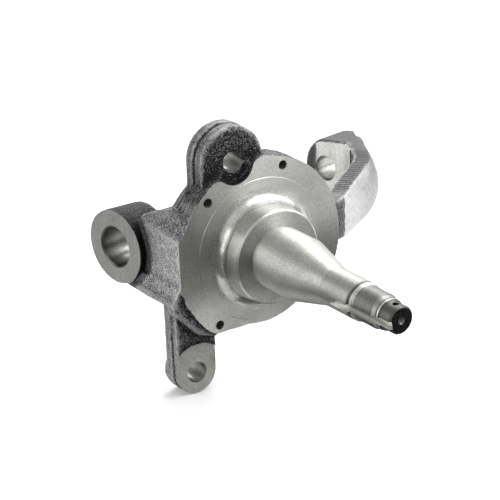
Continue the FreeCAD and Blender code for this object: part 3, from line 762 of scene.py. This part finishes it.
def cast_material():
    """Dark shot-blasted skin, blended by point attributes to trimmed, ribbed and bright ground areas, with
    painted light on sides that face left and down, and painted shade on the lower boss, in recesses and in
    the furrows of the ribs.
    """
    n = Nodes("cast_skin")
    marks = {name: n.add("ShaderNodeAttribute", attribute_name=name).outputs["Fac"]
             for name in ("ground", "painted_light", "crest", "painted_shade", "trimmed", "ribbed", "along")}
    grain = n.noise(1650.0, 1.5, 0.6)
    fine = n.noise(2600.0, 1.0)
    peel = n.noise(800.0, 1.0)
    clouds = n.math("MULTIPLY", n.math("SUBTRACT", n.noise(60.0, 4.0, 0.6), 0.5), 0.05)
    level = n.math("ADD", grain, clouds)
    level = n.math("ADD", level, n.between(peel, 0.3, 0.7, -0.06, 0.06))
    # lighter on the crests and darker in the hollows
    level = n.math("ADD", level, n.between(marks["crest"], -0.15, 0.15, -0.10, 0.16))
    # painted shade makes the skin darker
    level = n.math("ADD", level, n.math("MULTIPLY", marks["painted_shade"], -0.15))
    colour = n.ramp(level, (0.42, (0.006, 0.006, 0.007)), (0.53, (0.032, 0.033, 0.035)),
                    (0.66, (0.17, 0.17, 0.17)))
    # painted light: a paler ramp for the sides that face left and down
    side = n.ramp(level, (0.36, (0.075, 0.077, 0.080)), (0.52, (0.225, 0.227, 0.230)),
                  (0.66, (0.42, 0.42, 0.42)))
    colour = n.mix(n.math("MULTIPLY", marks["painted_light"], 0.9), colour, side)
    sheared = n.ramp(n.noise(900.0, 3.0), (0.35, (0.040, 0.041, 0.043)), (0.65, (0.100, 0.102, 0.105)))
    # painted shade also darkens the trimmed skin
    sheared = n.mix(n.math("MULTIPLY", marks["painted_shade"], 0.4), sheared, (0.03, 0.031, 0.033))
    colour = n.mix(n.math("MULTIPLY", marks["trimmed"], 0.85), colour, sheared)
    wander = n.math("MULTIPLY", n.noise(250.0, 2.0), 1.6)
    wave = n.math("MULTIPLY", n.math("ADD", marks["along"], wander), 2 * math.pi / RIB_PITCH)
    wave = n.math("SINE", wave)
    rib = n.math("MULTIPLY", n.between(wave, -0.7, 0.7), marks["ribbed"])
    # painted shade in the furrows between the ribs
    furrow_shade = n.math("MULTIPLY", marks["ribbed"], n.between(wave, -0.3, 0.7, 0.95, 0.0))
    colour = n.mix(furrow_shade, colour, (0.012, 0.012, 0.013))
    # lighter patches on the highest crests, left out where painted shade lies
    patches = n.between(n.noise(300.0, 3.0), 0.35, 0.6)
    crest_patches = n.math("MULTIPLY", n.between(marks["crest"], 0.09, 0.24), patches)
    crest_patches = n.math("MULTIPLY", crest_patches, n.between(marks["painted_shade"], 0.9, 1.1, 1.0, 0.0))
    colour = n.mix(n.math("MULTIPLY", crest_patches, 0.6), colour, (0.34, 0.34, 0.34))
    ground, bright = ground_finish(n, marks)
    colour = n.mix(ground, colour, bright)
    rough = n.math("ADD", n.between(grain, 0.35, 0.7, 0.58, 0.38), n.math("MULTIPLY", ground, -0.06))
    height = n.math("ADD", grain, n.math("MULTIPLY", peel, 1.2))
    height = n.math("ADD", height, n.math("MULTIPLY", fine, 0.25))
    smooth = n.math("MAXIMUM", n.math("MULTIPLY", ground, 0.9), n.math("MULTIPLY", marks["trimmed"], 0.7))
    relief = n.math("MULTIPLY", height, n.math("SUBTRACT", 1.0, smooth))
    relief = n.math("ADD", relief, n.math("MULTIPLY", rib, 0.5))
    return n.finish(Base_Color=colour, Metallic=0.85, Roughness=rough, Normal=n.bump(relief, 1.0, 0.0004))


def dark_end_material():
    """Dark coated end face of the spindle."""
    n = Nodes("dark_end")
    grain = n.noise(1500.0, 2.0)
    tone = n.ramp(grain, (0.5, (0.001, 0.001, 0.001)), (0.75, (0.020, 0.020, 0.020)))
    return n.finish(Base_Color=tone, Metallic=0.0, Specular_IOR_Level=0.08,
                    Roughness=n.between(grain, 0.3, 0.7, 0.35, 0.7),
                    Normal=n.bump(grain, 0.7, 0.0003))


def ring_coordinate(n, centre=(0.0, 0.0, 0.0)):
    """Distance from an axis along Y through the centre, and the direction across the turning marks."""
    away = n.vector("SUBTRACT", n.place, centre)
    flat = n.vector("MULTIPLY", away, (1.0, 0.0, 1.0))
    distance = n.vector("LENGTH", flat, output="Value")
    around = n.vector("CROSS_PRODUCT", flat, (0.0, 1.0, 0.0))
    facing = n.add("ShaderNodeNewGeometry").outputs["Normal"]
    across = n.vector("CROSS_PRODUCT", facing, around)
    return distance, n.vector("NORMALIZE", across)


def steel(name, build, tone_level):
    """Machined steel of one tone. The build function gives its marks, and may give the direction across
    them, a level that changes the tone from place to place, and what is added to the roughness."""
    n = Nodes(name)
    made = {"across": None, "level": 1.0, "matt": 0.0, **build(n)}
    marks = made["marks"]
    fine = n.noise(1400.0, 2.0)
    cloud = n.noise(55.0, 3.0)
    tone = n.ramp(cloud, (0.3, (0.885, 0.89, 0.845)), (0.7, (1.085, 1.09, 1.03)))
    grooves = n.between(marks, 0.3, 0.7, 0.86, 1.12)
    speck = n.math("MULTIPLY", n.between(fine, 0.35, 0.65, 0.80, 1.10), grooves)
    scale = n.math("MULTIPLY", n.math("MULTIPLY", speck, tone_level), made["level"])
    colour = n.add("ShaderNodeVectorMath", {0: tone, "Scale": scale}, operation="SCALE")
    rough = n.math("ADD", n.between(n.noise(180.0, 3.0), 0.3, 0.7, 0.34, 0.43), made["matt"])
    height = n.math("ADD", marks, n.math("MULTIPLY", fine, 0.5))
    sockets = {"Base_Color": colour.outputs["Vector"], "Metallic": 1.0, "Roughness": rough,
               "Anisotropic": 0.85, "Normal": n.bump(height, 0.5, 0.00009)}
    if made["across"] is not None:
        sockets["Tangent"] = made["across"]
    return n.finish(**sockets)


def turned_marks(n):
    distance, across = ring_coordinate(n)
    y = n.add("ShaderNodeSeparateXYZ", {0: n.place}).outputs["Y"]
    matt_spindle = n.between(y, -13.8 * MM, -14.2 * MM, 0.0, 0.14)
    hub = n.math("MULTIPLY", n.between(distance, 32.5 * MM, 31.5 * MM), n.between(y, -6.0 * MM, -5.0 * MM))
    matt = n.math("ADD", matt_spindle, n.math("MULTIPLY", hub, -0.11))
    level = 1.0
    before = 1.0
    # bands of tone along the spindle, among them painted shade and painted highlights
    for start, tone in SPINDLE_TONES:
        edge = -start * MM
        level = n.math("ADD", level, n.between(y, edge, edge - 0.2 * MM, 0.0, tone - before))
        before = tone
    reach = n.math("ADD", distance, n.math("MULTIPLY", y, 0.92))
    marks = n.noise(3200.0, 2.0, 0.6, n.along_line(reach))
    return {"marks": marks, "across": across, "level": level, "matt": matt}


def milled_marks(n):
    stretched = n.vector("MULTIPLY", n.place, (1.0, 1.0, 0.04))
    return {"marks": n.noise(1500.0, 2.0, 0.6, stretched)}


def spot_marks(n):
    distance, across = ring_coordinate(n, (LOWER_EAR[0] * MM, 0.0, LOWER_EAR[1] * MM))
    return {"marks": n.noise(1800.0, 2.0, 0.6, n.along_line(distance)), "across": across}


def bored_marks(n):
    """Marks of both bores on the steering axis, with painted shade at their mouths that turns to painted
    light with depth.
    """
    axis = n.add("ShaderNodeCombineXYZ", {"X": AXIS[0], "Y": AXIS[1], "Z": 0.0}).outputs["Vector"]
    along = n.vector("DOT_PRODUCT", n.place, axis, output="Value")
    from_start = n.math("ADD", along, -float(AXIS_START @ AXIS) * MM)
    # painted shade at the mouth of each bore, painted light deeper in
    lower = n.between(from_start, 1 * MM, 10 * MM, 0.22, 1.0)
    upper = n.between(from_start, LUG_DISTANCE * MM, (LUG_DISTANCE + 4) * MM, 0.35, 1.5)
    is_upper = n.math("GREATER_THAN", from_start, 100 * MM)
    level = n.math("ADD", lower, n.math("MULTIPLY", is_upper, n.math("SUBTRACT", upper, 1.0)))
    return {"marks": n.noise(2200.0, 2.0, 0.6, n.along_line(along)), "across": axis, "level": level}


def drilled_marks(n):
    inboard = n.add("ShaderNodeCombineXYZ", {"X": 0.0, "Y": 1.0, "Z": 0.0}).outputs["Vector"]
    return {"marks": n.noise(1200.0, 2.0, 0.6), "across": inboard}


def pale_floor():
    floor_mesh = bpy.data.meshes.new("floor")
    shape = bmesh.new()
    bmesh.ops.create_grid(shape, x_segments=1, y_segments=1, size=4.0)
    shape.to_mesh(floor_mesh)
    shape.free()
    floor = new_object("floor", floor_mesh)
    floor.location.z = cad_low.z
    paper = Nodes("floor_paper")
    floor_mesh.materials.append(paper.finish(Base_Color=(0.93, 0.93, 0.93, 1.0), Roughness=0.9))


def studio_world(scene):
    """Soft grey light on the object, and white where the camera, gloss or glass sees the background."""
    world = bpy.data.worlds.new("studio")
    scene.world = world
    world.use_nodes = True
    tree = world.node_tree
    tree.nodes.clear()
    rays = tree.nodes.new("ShaderNodeLightPath")
    seen = rays.outputs["Is Camera Ray"]
    for ray in ("Is Glossy Ray", "Is Transmission Ray"):
        either = tree.nodes.new("ShaderNodeMath")
        either.operation = "MAXIMUM"
        tree.links.new(seen, either.inputs[0])
        tree.links.new(rays.outputs[ray], either.inputs[1])
        seen = either.outputs[0]
    blend = tree.nodes.new("ShaderNodeMixShader")
    tree.links.new(seen, blend.inputs[0])
    for i, colour in ((1, (0.62, 0.62, 0.63, 1.0)), (2, (1.0, 1.0, 1.0, 1.0))):
        light = tree.nodes.new("ShaderNodeBackground")
        light.inputs["Color"].default_value = colour
        tree.links.new(light.outputs[0], blend.inputs[i])
    out = tree.nodes.new("ShaderNodeOutputWorld")
    tree.links.new(blend.outputs[0], out.inputs["Surface"])


def dark_cards():
    """Cards that darken what the steel reflects, seen by neither the camera nor the shadows."""
    card = Nodes("dark_card").finish(Base_Color=(0.10, 0.10, 0.10, 1.0), Roughness=0.9)
    for name, corner, along, across in CARDS:
        sheet = bpy.data.meshes.new(name)
        corners = [Vector(corner), Vector(corner) + Vector(along)]
        corners += [corners[1] + Vector(across), corners[0] + Vector(across)]
        sheet.from_pydata([tuple(c * MM) for c in corners], [], [(0, 1, 2, 3)])
        sheet.materials.append(card)
        flag = new_object(name, sheet)
        flag.visible_camera = False
        flag.visible_diffuse = False
        flag.visible_shadow = False


def studio_lamps(scene):
    for name, place, size, power in LAMPS:
        lamp = bpy.data.lights.new(name, "AREA")
        lamp.energy = power
        lamp.size = size
        holder = bpy.data.objects.new(name, lamp)
        scene.collection.objects.link(holder)
        holder.location = place
        holder.rotation_euler = (-Vector(place)).to_track_quat("-Z", "Y").to_euler()


def photo_camera(scene):
    lens = bpy.data.cameras.new("camera")
    lens.sensor_width = CAMERA_SENSOR
    lens.lens = CAMERA_LENS
    lens.clip_start = 0.05
    camera = bpy.data.objects.new("camera", lens)
    scene.collection.objects.link(camera)
    turn = Matrix((CAMERA_RIGHT, CAMERA_UP, CAMERA_BACK)).transposed().to_4x4()
    camera.matrix_world = Matrix.Translation(Vector(CAMERA_PLACE) * MM) @ turn
    scene.camera = camera


def stage():
    """Pale floor, plain studio light and the camera."""
    scene = bpy.context.scene
    scene.view_settings.view_transform = "Standard"
    pale_floor()
    studio_world(scene)
    dark_cards()
    studio_lamps(scene)
    photo_camera(scene)


materials = {
    "cast": cast_material(),
    "turned": steel("turned_steel", turned_marks, 0.46),
    # The boss face's steel has the milled marks at a much darker tone: painted shade.
    "faced_and_shaded": steel("faced_steel_painted_shade", milled_marks, 0.20),
    "milled": steel("milled_steel", milled_marks, 0.57),
    "spot": steel("spot_faced_steel", spot_marks, 0.30),
    "bored": steel("bored_steel", bored_marks, 0.40),
    "drilled": steel("drilled_steel", drilled_marks, 0.27),
    "dark_end": dark_end_material(),
}
stage()
body = casting(materials)
spindle = turned_spindle(materials)
for piece in (body, spindle):
    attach(piece, BODY)
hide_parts(NODE)
